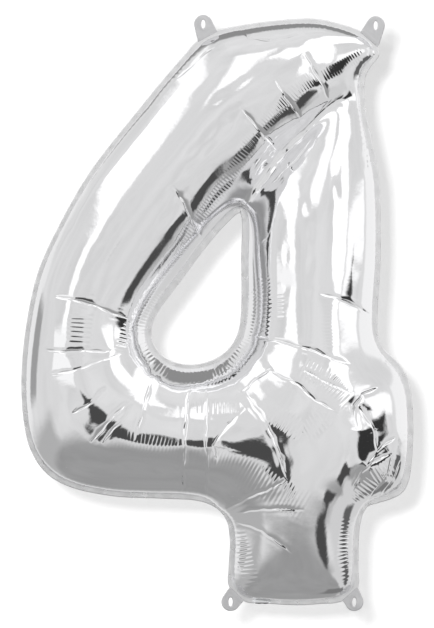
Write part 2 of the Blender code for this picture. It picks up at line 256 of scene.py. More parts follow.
def smooth_loop(loop, per=8):
    """A Catmull-Rom curve through the points of a closed loop."""
    before, after, beyond = np.roll(loop, 1, 0), np.roll(loop, -1, 0), np.roll(loop, -2, 0)
    rows = []
    for t in np.arange(per) / per:
        square = (2 * before - 5 * loop + 4 * after - beyond) * t**2
        cube = (3 * loop - before - 3 * after + beyond) * t**3
        rows.append(0.5 * (2 * loop + (after - before) * t + square + cube))
    return np.stack(rows, axis=1).reshape(-1, loop.shape[1])


def clockwise(loop):
    x, z = loop[:, 0], loop[:, 1]
    area = (x * np.roll(z, -1) - np.roll(x, -1) * z).sum()
    return loop if area < 0 else loop[::-1]


def offset(loop, distance):
    """The loop moved sideways, to the right of its direction, with its corners mitred."""
    arriving = loop - np.roll(loop, 1, 0)
    leaving = np.roll(loop, -1, 0) - loop
    arriving /= np.linalg.norm(arriving, axis=1)[:, None]
    leaving /= np.linalg.norm(leaving, axis=1)[:, None]
    right_before = np.column_stack([arriving[:, 1], -arriving[:, 0]])
    right_after = np.column_stack([leaving[:, 1], -leaving[:, 0]])
    middle = right_before + right_after
    middle /= np.linalg.norm(middle, axis=1)[:, None]
    reach = np.clip((middle * right_after).sum(axis=1), 0.5, 1)
    return loop + middle * (distance / reach)[:, None]


def inside(points, loop):
    found = np.zeros(len(points), bool)
    for (x1, z1), (x2, z2) in zip(loop, np.roll(loop, -1, axis=0)):
        crosses = (z1 > points[:, 1]) != (z2 > points[:, 1])
        slope = (x2 - x1) / (z2 - z1) if z1 != z2 else 0.0
        found ^= crosses & (points[:, 0] < x1 + slope * (points[:, 1] - z1))
    return found


def nearest(points, others):
    """(distance from each point to the nearest of the others, which of them that is)."""
    clear = np.empty(len(points))
    index = np.empty(len(points), int)
    for start in range(0, len(points), 2000):
        part = slice(start, start + 2000)
        gap = np.linalg.norm(points[part, None] - others[None], axis=2)
        index[part] = gap.argmin(axis=1)
        clear[part] = gap.min(axis=1)
    return clear, index


def lattice(outer, counter, step, clearance):
    """Points of a triangular lattice between two loops, kept clear of both."""
    low, high = outer.min(axis=0), outer.max(axis=0)
    row = step * math.sqrt(3) / 2
    rows = []
    for index in range(int((high[1] - low[1]) / row) + 1):
        xs = np.arange(low[0] + (step / 2 if index % 2 else 0), high[0], step)
        rows.append(np.column_stack([xs, np.full(len(xs), low[1] + index * row)]))
    points = np.concatenate(rows)
    points = points[inside(points, outer) & ~inside(points, counter)]
    return points[nearest(points, np.concatenate([outer, counter]))[0] > clearance]


def triangulate(outer, counter, others):
    """(points, triangles) between two loops, whose points come first."""
    points = np.concatenate([outer, counter, others])
    edges = []
    start = 0
    for count in (len(outer), len(counter)):
        edges += [(start + i, start + (i + 1) % count) for i in range(count)]
        start += count
    made = delaunay_2d_cdt([Vector(p) for p in points], edges, [], 0, 1e-7)
    points = np.array([tuple(v) for v in made[0]])
    tris = np.array([tuple(f) for f in made[2]])
    middle = points[tris].mean(axis=1)
    return points, tris[inside(middle, outer) & ~inside(middle, counter)]


def line_field(x, z, line):
    """(distance to a polyline, place along it from 0 to its length, signed side) of each point."""
    best = np.full(len(x), 1e9)
    along = np.zeros(len(x))
    side = np.zeros(len(x))
    start = 0.0
    for (x1, z1), (x2, z2) in zip(line[:-1], line[1:]):
        length = math.hypot(x2 - x1, z2 - z1)
        ux, uz = (x2 - x1) / length, (z2 - z1) / length
        t = np.clip((x - x1) * ux + (z - z1) * uz, 0, length)
        dx, dz = x - x1 - t * ux, z - z1 - t * uz
        distance = np.hypot(dx, dz)
        closer = distance < best
        best = np.where(closer, distance, best)
        along = np.where(closer, start + t, along)
        side = np.where(closer, (x - x1) * uz - (z - z1) * ux, side)
        start += length
    return best, along, side


def near_line(points, line, reach):
    """Which points (x, y, z) are nearer than reach to a polyline, seen from the front."""
    return line_field(points[:, 0], points[:, 2], line)[0] < reach


def line_length(line):
    return sum(math.dist(p, q) for p, q in zip(line[:-1], line[1:]))


# ---------------------------------------------------------------- mesh helpers

def sides_of(tris):
    """The directed sides of the triangles: all the first ones, then the second, then the third."""
    return np.concatenate([tris[:, [0, 1]], tris[:, [1, 2]], tris[:, [2, 0]]])


def edges_of(tris):
    return np.unique(np.sort(sides_of(tris), axis=1), axis=0)


def rim_sides(tris):
    """The directed sides that belong to one triangle only."""
    sides = sides_of(tris)
    _, index, uses = np.unique(np.sort(sides, axis=1), axis=0, return_inverse=True, return_counts=True)
    return sides[uses[index.reshape(-1)] == 1]


def rim_edges(tris):
    """Which rows of edges_of() belong to one triangle only."""
    _, uses = np.unique(np.sort(sides_of(tris), axis=1), axis=0, return_counts=True)
    return uses == 1


def hinges_of(tris):
    """The two far corners of each pair of triangles that share an edge."""
    far = np.concatenate([tris[:, 2], tris[:, 0], tris[:, 1]])
    key = np.sort(sides_of(tris), axis=1)
    order = np.lexsort((key[:, 1], key[:, 0]))
    key, far = key[order], far[order]
    same = (key[1:] == key[:-1]).all(axis=1)
    return np.column_stack([far[:-1][same], far[1:][same]])


def colour_groups(pairs, count):
    """Pairs split into groups in which no point comes twice."""
    used = [set() for _ in range(count)]
    group = np.empty(len(pairs), int)
    for k, (a, b) in enumerate(pairs.tolist()):
        colour = 0
        while colour in used[a] or colour in used[b]:
            colour += 1
        used[a].add(colour)
        used[b].add(colour)
        group[k] = colour
    return [np.nonzero(group == colour)[0] for colour in range(group.max() + 1)]


def sum_to_points(index, values, count):
    """values added up at the points that index names, column by column."""
    return np.column_stack([np.bincount(index, values[:, k], count) for k in range(values.shape[1])])


def area_vectors(points, tris):
    a, b, c = points[tris[:, 0]], points[tris[:, 1]], points[tris[:, 2]]
    normal = np.cross(b - a, c - a) / 6
    return sum(sum_to_points(tris[:, k], normal, len(points)) for k in range(3))


def unit_rows(vectors):
    return vectors / (np.linalg.norm(vectors, axis=1, keepdims=True) + 1e-12)


def face_normals(points, tris):
    a, b, c = points[tris[:, 0]], points[tris[:, 1]], points[tris[:, 2]]
    return unit_rows(np.cross(b - a, c - a))


def signed_areas(points, tris):
    """Areas of triangles in a plane, negative for those turned the other way."""
    a, b, c = points[tris[:, 0]], points[tris[:, 1]], points[tris[:, 2]]
    return 0.5 * ((b[:, 0] - a[:, 0]) * (c[:, 1] - a[:, 1]) - (b[:, 1] - a[:, 1]) * (c[:, 0] - a[:, 0]))


def averaged(values, edges, fixed, passes, share):
    """Each point's values moved towards its neighbours' average."""
    count = len(values)
    degree = np.bincount(edges.ravel(), minlength=count)[:, None]
    for _ in range(passes):
        total = sum_to_points(edges[:, 0], values[edges[:, 1]], count)
        total = total + sum_to_points(edges[:, 1], values[edges[:, 0]], count)
        moved = values + share * (total / degree - values)
        values = np.where(fixed[:, None], values, moved)
    return values


class Springs:
    """Pairs of points held at their rest lengths, with one stiffness for push and one for pull."""

    def __init__(self, pairs, count, push, pull):
        self.pairs, self.push, self.pull = pairs, push, pull
        self.groups = colour_groups(pairs, count)

    def set_rest(self, rest):
        self.parts = [(self.pairs[g, 0], self.pairs[g, 1], rest[g]) for g in self.groups]

    def relax(self, points, held=None):
        for first, second, rest in self.parts:
            between = points[second] - points[first]
            length = np.sqrt((between * between).sum(axis=1)) + 1e-12
            spare = length - rest
            stiffness = np.where(spare > 0, self.pull, self.push)
            move = (0.5 * stiffness * spare / length)[:, None] * between
            points[first] += move
            points[second] -= move
            if held is not None:
                points[held[0]] = held[1]


# ---------------------------------------------------------------- outlines read from the CAD

def cad_mesh(name):
    """(points, triangles) of a CAD node, with points in the same place made one."""
    mesh = frame["nodes"][name].data
    mesh.calc_loop_triangles()
    points = np.empty(len(mesh.vertices) * 3)
    mesh.vertices.foreach_get("co", points)
    points = points.reshape(-1, 3)
    tris = np.empty(len(mesh.loop_triangles) * 3, np.int64)
    mesh.loop_triangles.foreach_get("vertices", tris)
    cells = np.round(points / SAME_POINT).astype(np.int64)
    _, first, index = np.unique(cells, axis=0, return_index=True, return_inverse=True)
    tris = index.reshape(-1)[tris.reshape(-1, 3)]
    whole = (tris[:, 0] != tris[:, 1]) & (tris[:, 1] != tris[:, 2]) & (tris[:, 0] != tris[:, 2])
    return points[first], tris[whole]


def boundary_loops(tris):
    """The closed loops of point numbers round a surface's rim."""
    following = {int(a): int(b) for a, b in rim_sides(tris)}
    loops = []
    while following:
        start = next(iter(following))
        loop, current = [start], following.pop(start)
        while current != start:
            loop.append(current)
            current = following.pop(current)
        loops.append(np.array(loop))
    return loops


def weld_loops():
    """The film's edge at the outer weld and round the counter, as (x, z) loops, from the CAD film."""
    points, tris = cad_mesh("back_film")
    tris = tris[face_normals(points, tris)[:, 1] > 0.02]
    flange = points[:, 1] - points[tris.ravel(), 1].min() < 2e-4
    tris = tris[~flange[tris].all(axis=1)]
    loops = sorted(boundary_loops(tris), key=len, reverse=True)[:2]
    return [clockwise(points[loop][:, [0, 2]]) for loop in loops]


def cad_face_loops(name):
    """The outline of a flat CAD node's front face, then its holes, as (x, z) loops."""
    points, tris = cad_mesh(name)
    loops = boundary_loops(tris[face_normals(points, tris)[:, 1] < -0.9])
    loops = [points[loop][:, [0, 2]] for loop in sorted(loops, key=len, reverse=True)]
    return sorted([clockwise(loop) for loop in loops], key=lambda loop: -np.ptp(loop, axis=0).max())


def tab_root(name):
    """Middle of a tab's root line and the direction in which the tab points, as (x, z)."""
    joint = [j for j in frame["joints"] if j["child"] == name][0]
    middle = np.array([joint["pos_m"][0], joint["pos_m"][2]])
    low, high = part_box(name)
    centre = np.array([(low[0] + high[0]) / 2, (low[2] + high[2]) / 2])
    axis = np.array([joint["axis"][0], joint["axis"][2]])
    out = np.array([axis[1], -axis[0]])
    if ((centre - middle) * out).sum() < 0:
        out = -out
    return middle, out / np.linalg.norm(out)


# ---------------------------------------------------------------- the inflated film

def height_field(points, tris, edge_count):
    """Squared height of the inflated film over each point of its plan.

    It solves a screened Poisson equation, with the film held down along the valley.
    """
    count = len(points)
    stiffness, load = np.zeros((count, count)), np.zeros(count)
    corners = points[tris]
    opposite = np.roll(corners, -1, axis=1) - np.roll(corners, 1, axis=1)
    area = abs(opposite[:, 0, 0] * opposite[:, 1, 1] - opposite[:, 0, 1] * opposite[:, 1, 0]) / 2
    distance, _, _ = line_field(points[:, 0], points[:, 1], VALLEY)
    hold = 1 / HOLD_LENGTH**2 + VALLEY_HOLD * np.exp(-((distance / VALLEY_WIDTH) ** 2))
    for i in range(3):
        for j in range(3):
            part = (opposite[:, i] * opposite[:, j]).sum(axis=1) / (4 * area)
            np.add.at(stiffness, (tris[:, i], tris[:, j]), part)
        np.add.at(stiffness, (tris[:, i], tris[:, i]), area / 3 * hold[tris[:, i]])
        np.add.at(load, tris[:, i], area / 3)
    free = np.arange(count) >= edge_count
    square = np.zeros(count)
    square[free] = np.linalg.solve(stiffness[np.ix_(free, free)], load[free])
    strip = HOLD_LENGTH**2 * (1 - 1 / math.cosh(STROKE_HALF_WIDTH / HOLD_LENGTH))
    return np.maximum(square, 0) / strip * STROKE_HALF_WIDTH**2


def flattened(plan, surface, tris, outer_count, edge_count):
    """The film laid out flat at its own surface's lengths, with the counter's edge left in place.

    A lattice that is even on the flat film is then even on the inflated film too.
    """
    edges = edges_of(tris)
    flat_rest = np.linalg.norm(plan[edges[:, 0]] - plan[edges[:, 1]], axis=1)
    full_rest = np.linalg.norm(surface[edges[:, 0]] - surface[edges[:, 1]], axis=1)
    springs = Springs(edges, len(plan), 0.6, 0.5)
    pinned = slice(outer_count, edge_count)
    held = (pinned, plan[pinned].copy())
    flat = plan.copy()
    for stage in range(FLATTEN_STAGES):
        springs.set_rest(flat_rest + (full_rest - flat_rest) * min(1, (stage + 1) / FULL_SIZE_STAGE))
        for _ in range(14):
            springs.relax(flat, held)
    turn = np.sign(signed_areas(plan, tris).sum())
    fixed = np.arange(len(flat)) < edge_count
    for _ in range(UNFOLD_PASSES):
        folded = signed_areas(flat, tris) * turn <= 1e-6
        if not folded.any():
            break
        ring = np.zeros(len(flat), bool)
        ring[tris[folded].ravel()] = True
        flat = averaged(flat, edges, fixed | ~ring, 2, 0.5)
    return flat


def lift(points, flat, tris, values, edge_count):
    """Values at points of the flat film, read from the coarse triangles.

    Next to a weld the squared height is read so that the spacing up the steep film is even.
    """
    found = np.full((len(points), values.shape[1]), np.nan)
    best = np.full(len(points), -1e9)
    for tri in tris:
        a, b, c = flat[tri]
        low = np.minimum(np.minimum(a, b), c) - 0.003
        high = np.maximum(np.maximum(a, b), c) + 0.003
        near = np.nonzero(((points >= low) & (points <= high)).all(axis=1))[0]
        det = (b[0] - a[0]) * (c[1] - a[1]) - (b[1] - a[1]) * (c[0] - a[0])
        if not len(near) or abs(det) < 1e-10:
            continue
        q = points[near] - a
        second = (q[:, 0] * (c[1] - a[1]) - q[:, 1] * (c[0] - a[0])) / det
        third = ((b[0] - a[0]) * q[:, 1] - (b[1] - a[1]) * q[:, 0]) / det
        share = np.column_stack([1 - second - third, second, third])
        score = share.min(axis=1)
        better = score > best[near]
        near, share = near[better], np.maximum(share[better], 0)
        share /= share.sum(axis=1, keepdims=True)
        best[near] = score[better]
        on_weld = tri < edge_count
        if on_weld.any() and not on_weld.all():
            away = np.clip(share[:, ~on_weld].sum(axis=1), 1e-6, 1)
            share[:, ~on_weld] *= away[:, None]
            share[:, on_weld] *= ((1 - away * away) / np.maximum(1 - away, 1e-6))[:, None]
        found[near] = share @ values[tri]
    return found


def spare_length(middle, direction):
    """How much longer than the smooth surface the film is, squared, along each edge's direction."""
    total = np.ones(len(middle))
    for x, z, turn, spread, inner, reach, spare in FANS:
        dx, dz = middle[:, 0] - x, middle[:, 2] - z
        radius = np.hypot(dx, dz) + 1e-9
        off = abs((np.degrees(np.arctan2(dz, dx)) - turn + 180) % 360 - 180)
        here = 1 - smoothstep(off, spread * 0.7, spread)
        here = here * smoothstep(radius, inner * 0.5, inner + 0.01)
        here = here * (1 - smoothstep(radius, reach * 0.55, reach))
        across = (direction[:, 0] * -dz / radius + direction[:, 2] * dx / radius) ** 2
        total += ((1 + spare * here) ** 2 - 1) * across
    return total


def inflate(points, tris, welded, outer_count, seed):
    """The film blown up with a little spare length, by springs and pressure, with its welded edge held."""
    count, edge_count = len(points), int(np.argmin(welded))
    edges, hinges = edges_of(tris), hinges_of(tris)
    rest = np.linalg.norm(points[edges[:, 0]] - points[edges[:, 1]], axis=1)
    middle = (points[edges[:, 0]] + points[edges[:, 1]]) / 2
    direction = (points[edges[:, 1]] - points[edges[:, 0]]) / rest[:, None]
    stretch = Springs(edges, count, 1.0, 1.0)
    stretch.set_rest(rest * np.sqrt(spare_length(middle, direction)))
    bend = Springs(hinges, count, BEND_STIFFNESS, 0.0)
    bend.set_rest(np.linalg.norm(points[hinges[:, 0]] - points[hinges[:, 1]], axis=1) * BEND_SPARE)
    share = np.linalg.norm(area_vectors(points, tris), axis=1)[:, None] + 1e-9
    distance, _, _ = line_field(points[:, 0], points[:, 2], VALLEY)
    ceiling = points[:, 1] + 0.001 + 0.08 * (1 - np.exp(-((distance / VALLEY_CEILING_WIDTH) ** 2)))
    held = points[welded].copy()
    random = np.random.default_rng(seed)
    noise = averaged(random.normal(0, START_NOISE, (count, 1)), edges, welded, 2, 0.6)[:, 0]
    points = points.copy()
    points[~welded, 1] += noise[~welded]
    speed = np.zeros_like(points)
    for _ in range(INFLATE_STEPS):
        speed = speed * SPEED_KEPT + area_vectors(points, tris) / share * PRESSURE
        moved = points + speed
        for _ in range(4):
            stretch.relax(moved)
            bend.relax(moved)
            moved[welded] = held
            moved[:, 1] = np.clip(moved[:, 1], 0, ceiling)
        speed = moved - points
        speed *= np.minimum(1, LONGEST_MOVE / (np.linalg.norm(speed, axis=1, keepdims=True) + 1e-12))
        points = moved
    points = averaged(points, edges, welded, 2, 0.5)
    around = nearest(points[:, [0, 2]], points[outer_count:edge_count][:, [0, 2]])[0]
    return averaged(points, edges, welded | (around > COUNTER_SMOOTH), 6, 0.5)


def even_edge(flat, plan):
    """Points at even spacing along the flat film's edge, and where they are on the balloon's outline."""
    both = np.column_stack([smooth_loop(flat, 6), smooth_loop(plan, 6)])
    closed = np.vstack([both, both[:1]])
    along = walked(closed[:, :2])
    places = np.linspace(0, along[-1], round(along[-1] / LATTICE) + 1)[:-1]
    even = np.column_stack([np.interp(places, along, closed[:, k]) for k in range(4)])
    return even[:, :2], even[:, 2:]


def coarse_film():
    """The film on a coarse mesh: (flat layout, triangles, values, points on the outer edge, on both edges).

    The values are each point's x, squared height and z on the smooth inflated shape.
    """
    outer, counter = weld_loops()
    outer = resample(smooth_loop(outer), COARSE_OUTER_STEP)
    counter = resample(smooth_loop(counter), COARSE_COUNTER_STEP)
    counter = 0.5 * counter + 0.25 * (np.roll(counter, 1, 0) + np.roll(counter, -1, 0))
    edge_count = len(outer) + len(counter)
    rings = [offset(outer, COARSE_RING), offset(counter, -COARSE_RING)]
    inner = lattice(outer, counter, COARSE, COARSE_CLEARANCE)
    plan, tris = triangulate(outer, counter, np.concatenate([*rings, inner]))
    square = height_field(plan, tris, edge_count)
    surface = np.column_stack([plan[:, 0], np.sqrt(square), plan[:, 1]])
    flat = flattened(plan, surface, tris, len(outer), edge_count)
    return flat, tris, np.column_stack([plan[:, 0], square, plan[:, 1]]), len(outer), edge_count


def lifted(domain, welded, rim_places, film):
    """The flat domain's points on the smooth inflated film, with the welded ones on the outline."""
    flat, coarse, values, _, edge_count = film
    points = lift(domain, flat, coarse, values, edge_count)
    points[:, 1] = np.where(welded, 0, np.sqrt(np.maximum(points[:, 1], 0)))
    points[np.ix_(welded, [0, 2])] = rim_places
    return points


def smooth_film():
    """(points, triangles, which are welded, points on the outer edge) of the back film, without wrinkles."""
    film = coarse_film()
    flat, _, values, outer_count, edge_count = film
    plan = values[:, [0, 2]]
    flat_outer, plan_outer = even_edge(flat[:outer_count], plan[:outer_count])
    flat_counter, plan_counter = even_edge(flat[outer_count:edge_count], plan[outer_count:edge_count])
    rim_places = np.concatenate([plan_outer, plan_counter])
    inner = lattice(flat_outer, flat_counter, LATTICE, 0.6 * LATTICE)
    domain, tris = triangulate(flat_outer, flat_counter, inner)
    welded = np.arange(len(domain)) < len(rim_places)
    points = lifted(domain, welded, rim_places, film)
    for _ in range(HALVINGS):
        edges = edges_of(tris)
        length = np.linalg.norm(points[edges[:, 0]] - points[edges[:, 1]], axis=1)
        split = (length > LONGEST_EDGE) & ~rim_edges(tris)
        if not split.any():
            break
        tris = split_triangles(tris, edges, split, len(domain))
        domain = np.concatenate([domain, domain[edges[split]].mean(axis=1)])
        welded = np.arange(len(domain)) < len(rim_places)
        points = lifted(domain, welded, rim_places, film)
    points = averaged(points, edges_of(tris), welded, 3, 0.5)
    if area_vectors(points, tris)[:, 1].sum() < 0:
        tris = tris[:, ::-1]
    return points, tris, welded, len(flat_outer)


# ---------------------------------------------------------------- finer mesh, folds and ribs

def midpoints(points, normals, edges, straight):
    """New points halfway along edges, rounded towards the surface that the normals at both ends show."""
    a, b = points[edges[:, 0]], points[edges[:, 1]]
    middle = (a + b) / 2
    na, nb = normals[edges[:, 0]], normals[edges[:, 1]]
    on_a = middle - ((middle - a) * na).sum(axis=1)[:, None] * na
    on_b = middle - ((middle - b) * nb).sum(axis=1)[:, None] * nb
    rounded = middle + 0.5 * ((on_a + on_b) / 2 - middle)
    return np.where(straight[:, None], middle, rounded)


# Parts of a triangle with corners 0, 1, 2 and the new points 3 on side 0-1, 4 on 1-2 and 5 on 2-0.
ONE_HALVED = ((0, 3, 2), (3, 1, 2))
TWO_HALVED = ((3, 1, 4), (0, 3, 4), (0, 4, 2))
ALL_HALVED = ((0, 3, 5), (3, 1, 4), (5, 4, 2), (3, 4, 5))


def split_triangles(tris, edges, split, count):
    """Triangles after the chosen edges are halved: each becomes one, two, three or four."""
    number = np.full(len(edges), -1)
    number[split] = count + np.arange(split.sum())
    key = edges[:, 0] * count + edges[:, 1]
    ends = np.sort(np.stack([tris, np.roll(tris, -1, axis=1)], axis=2), axis=2)
    on = number[np.searchsorted(key, ends[:, :, 0] * count + ends[:, :, 1])]
    has = on >= 0
    rows = [tris[~has.any(axis=1)]]
    for turn in range(3):
        both = np.column_stack([np.roll(tris, -turn, 1), np.roll(on, -turn, 1)])
        first, second, third = np.roll(has, -turn, 1).T
        rows += [both[first & ~second & ~third][:, part] for part in ONE_HALVED]
        rows += [both[first & second & ~third][:, part] for part in TWO_HALVED]
    full = np.column_stack([tris, on])[has.all(axis=1)]
    rows += [full[:, part] for part in ALL_HALVED]
    return np.concatenate(rows)


def refined(points, tris, welded, wanted):
    """Edges that wanted() picks are halved, with the new points on the rounded surface."""
    edges = edges_of(tris)
    split = wanted((points[edges[:, 0]] + points[edges[:, 1]]) / 2)
    rim = rim_edges(tris)[split]
    normals = unit_rows(area_vectors(points, tris))
    new = midpoints(points, normals, edges[split], rim)
    tris = split_triangles(tris, edges, split, len(points))
    return np.concatenate([points, new]), tris, np.concatenate([welded, rim])


def fold_profile(side, width, kink):
    """A sharp valley with dying ripples beside it, and the wider bend of the tube across it."""
    valley = -np.exp(-((side / width) ** 2))
    ripples = RIPPLE_SHARE * np.sin(side / (RIPPLE_PITCH * width))
    ripples = ripples * np.exp(-abs(side) / (RIPPLE_REACH * width))
    bend = -kink * np.exp(-abs(side) / KINK_REACH)
    return valley + ripples + bend


def fold_depths(x, z):
    """How far creases move each point outwards, which is mostly inwards."""
    total = np.zeros(len(x))
    for depth, width, kink, line in CREASES:
        distance, along, side = line_field(x, z, line)
        length = line_length(line)
        ends = smoothstep(along, 0, 0.25 * length) * (1 - smoothstep(along, 0.75 * length, length))
        signed = np.where(side > 0, distance, -distance)
        phase = 1000 * (line[0][0] + line[0][1])
        signed = signed + 0.0007 * np.sin(along / 0.0085 + phase) + 0.0003 * np.sin(along / 0.0031 + phase)
        ends = ends * (0.75 + 0.25 * np.sin(along / 0.0067 + 2 * phase)) ** 2
        if width < SOFT_WIDTH:
            width = width * FOLD_SCALE
            depth = depth * FOLD_SCALE
        total += depth * np.sqrt(ends) * fold_profile(signed, width, KINK_SCALE * kink / depth)
    return total


def rib_heights(x, z):
    """How far bands of fine ribs move each point outwards."""
    total = np.zeros(len(x))
    for slope, period, half, line in RIB_BANDS:
        distance, along, _ = line_field(x, z, line)
        length = line_length(line)
        fade = smoothstep(along, 0, 2 * period) * (1 - smoothstep(along, length - 2 * period, length))
        fade = fade * (1 - smoothstep(distance, 0.4 * half, half))
        slip = 0.9 * np.sin(along / 0.013 + 40 * x) + 0.5 * np.sin(along / 0.0061 + 3)
        wave = np.cos(2 * math.pi * along / period + slip)
        strength = 0.7 + 0.3 * np.sin(along / 0.0173 + 2 * period / 0.001)
        total += slope * period / (2 * math.pi) * fade * strength * wave
    return total


def seam_puckers(points, loop, period, height, reach):
    """Small gathers along a weld, highest a few millimetres up the film."""
    walk = walked(loop)
    plan = points[:, [0, 2]]
    close = np.nonzero(nearest(plan, loop[::8])[0] < reach + 0.005)[0]
    along = np.zeros(len(points))
    clear = np.full(len(points), 1.0)
    clear[close], index = nearest(plan[close], loop)
    along[close] = walk[index]
    rise = points[:, 1] / SEAM_PUCKER_RISE
    shape = rise * np.exp(1 - rise) * (1 - smoothstep(clear, 0.6 * reach, reach))
    wave = np.cos(2 * math.pi * along / period + 1.7 * np.sin(along / 0.031) + 1.1 * np.sin(along / 0.0117))
    amount = 0.75 + 0.25 * np.sin(along / 0.047 + 1.3)
    return height * shape * wave * amount


def near_creases(points, widths, share):
    """Which points are within some widths of a sharp crease, or in that share of a band of ribs."""
    near = np.zeros(len(points), bool)
    for _, width, _, line in CREASES:
        if width < SOFT_WIDTH:
            near |= near_line(points, line, widths * width)
    for _, _, half, line in RIB_BANDS:
        near |= near_line(points, line, share * half)
    return near


def refined_for_creases(points, tris, welded, counter):
    """The film's mesh made finer three times: everywhere, near details, and at the finest ones."""
    def anywhere(middle):
        return np.ones(len(middle), bool)

    def detailed(middle):
        near = (middle[:, 1] < 0.012) | (nearest(middle[:, [0, 2]], counter)[0] < 0.024)
        return near | near_creases(middle, 4, 1)

    def finest(middle):
        near = near_creases(middle, 2, 0.7) & (middle[:, 1] > 0.02)
        foot = (middle[:, 2] < COUNTER_FOOT) & (nearest(middle[:, [0, 2]], counter)[0] < 0.017)
        return near | foot

    for wanted in (anywhere, detailed, finest):
        points, tris, welded = refined(points, tris, welded, wanted)
        points = averaged(points, edges_of(tris), welded, 4, 0.5)
    return points, tris, welded


def film_mesh(smooth, seed):
    """(points, triangles, weld loops) of one film with folds, ribs and puckers, bulging towards +Y."""
    points, tris, welded, outer_count = smooth
    outer = points[:outer_count][:, [0, 2]]
    counter = points[outer_count:int(welded.sum())][:, [0, 2]]
    points = inflate(points, tris, welded, outer_count, seed)
    points, tris, welded = refined_for_creases(points, tris, welded, counter)
    normals = unit_rows(area_vectors(points, tris))
    x, z = points[:, 0], points[:, 2]
    outwards = fold_depths(x, z) + rib_heights(x, z)
    outwards = outwards * smoothstep(points[:, 1], 0.001, 0.02)
    outwards += seam_puckers(points, resample(outer, 0.001), *OUTER_PUCKERS)
    foot = smoothstep(-z, 0.372, 0.400)
    outwards += foot * seam_puckers(points, resample(counter, 0.001), *COUNTER_PUCKERS)
    points = points + normals * np.where(welded, 0, outwards)[:, None]
    points[:, 1] = np.maximum(points[:, 1], 0)
    return points, tris, (outer, counter)


def new_mesh_object(name, points, tris):
    mesh = bpy.data.meshes.new(name)
    mesh.from_pydata(points.tolist(), [], tris.tolist())
    mesh.update()
    mesh.shade_smooth()
    made = bpy.data.objects.new(name, mesh)
    bpy.context.scene.collection.objects.link(made)
    return made


# ---------------------------------------------------------------- flat pieces: welds and tabs

def closed_sheet(top, tris, thickness):
    """A thin closed solid on both sides of a sheet of points (x, y, z), facing -Y and +Y."""
    count = len(top)
    front, back = top.copy(), top.copy()
    front[:, 1] -= thickness / 2
    back[:, 1] += thickness / 2
    if area_vectors(top, tris)[:, 1].sum() > 0:
        tris = tris[:, ::-1]
    rim = rim_sides(tris)
    a, b = rim[:, 0], rim[:, 1]
    sides = np.concatenate([
        np.column_stack([b, a, a + count]),
        np.column_stack([b, a + count, b + count]),
    ])
    return np.concatenate([front, back]), np.concatenate([tris, tris[:, ::-1] + count, sides])


def strip(loop, offsets, waves, outward):
    """(points, triangles) of a band along a closed loop; waves(loop, walk, share) gives each row's y."""
    walk = walked(loop)
    rows = []
    for distance in offsets:
        moved = offset(loop, outward * distance)
        share = max(0.0, distance / offsets[-1])
        rows.append(np.column_stack([moved[:, 0], waves(loop, walk, share), moved[:, 1]]))
    count = len(loop)
    points = np.concatenate(rows)
    tris = []
    index = np.arange(count)
    after = (index + 1) % count
    for row in range(len(offsets) - 1):
        low, high = row * count, (row + 1) * count
        tris.append(np.column_stack([low + index, low + after, high + index]))
        tris.append(np.column_stack([low + after, high + after, high + index]))
    return points, np.concatenate(tris)


def flange_waves(loop, walk, share):
    """The weld's small waves, highest at its free edge and calm at the tabs and the valve."""
    wave = np.sin(walk / 0.0052 + 1.5 * np.sin(walk / 0.021)) + 0.6 * np.sin(walk / 0.0031 + 2)
    calm = np.ones(len(loop))
    for name in TAB_NAMES:
        middle = tab_root(name)[0]
        calm *= smoothstep(np.hypot(loop[:, 0] - middle[0], loop[:, 1] - middle[1]), 0.018, 0.032)
    calm *= smoothstep(np.hypot(loop[:, 0] - VALVE_MOUTH[0], loop[:, 1] - VALVE_MOUTH[1]), 0.014, 0.022)
    return 0.00020 * share * wave * calm


def make_tab(name):
    """A tab of two films, with its hole, a pressed rim round the hole, and its root under the weld."""
    middle, out = tab_root(name)
    outline, hole = cad_face_loops(name)[:2]
    outline, hole = resample(outline, TAB_STEP), resample(hole, TAB_HOLE_STEP)
    ahead = (outline - middle) @ out
    outline = outline - np.where(ahead < 0.0012, TAB_ROOT_TUCK, 0)[:, None] * out
    plan, tris = triangulate(outline, hole, lattice(outline, hole, TAB_STEP, 0.0011))
    ahead = (plan - middle) @ out
    across = (plan - middle) @ np.array([out[1], -out[0]])
    around = nearest(plan, hole)[0]
    rise = 0.00030 * np.exp(-(((around - 0.0016) / 0.0009) ** 2))
    rise += 0.00025 * np.sin(across / 0.0034 + 1.0) * smoothstep(ahead, 0.004, 0.014)
    root = (1 - smoothstep(ahead, 0.003, 0.007)) * smoothstep(ahead, 0, 0.002)
    rise += 0.00012 * np.sin(ahead / 0.0011) * root
    top = np.column_stack([plan[:, 0], -rise, plan[:, 1]])
    points, tris = closed_sheet(top, tris, TAB_THICKNESS)
    tab = new_mesh_object(name + "_look", points, tris)
    tab.data.materials.append(tab_film_material())
    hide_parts(name)
    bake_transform(tab)


def make_film(name, smooth, seed, side):
    """One film, on the side of +Y or -Y, and its outer and counter loops as (x, z)."""
    points, tris, loops = film_mesh(smooth, seed)
    if side < 0:
        points = points * (1, -1, 1)
        tris = tris[:, ::-1]
    film = new_mesh_object(name + "_look", points, tris)
    film.data.materials.append(foil_material())
    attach(film, "envelope")
    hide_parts(name)
    return loops


def make_weld(name, loop, outward):
    """The heat-sealed margin along a loop, as a thin wavy band."""
    loop = resample(loop, 0.0022)
    offsets = (-0.0010, 0.0, 0.0012, 0.0025, 0.0038, 0.0051, FLANGE_WIDTH)
    points, tris = strip(loop, offsets, flange_waves, outward)
    points, tris = closed_sheet(points, tris, FILM_LOOK_THICKNESS)
    weld = new_mesh_object(name + "_look", points, tris)
    weld.data.materials.append(weld_material())
    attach(weld, "envelope")
    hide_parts(name)


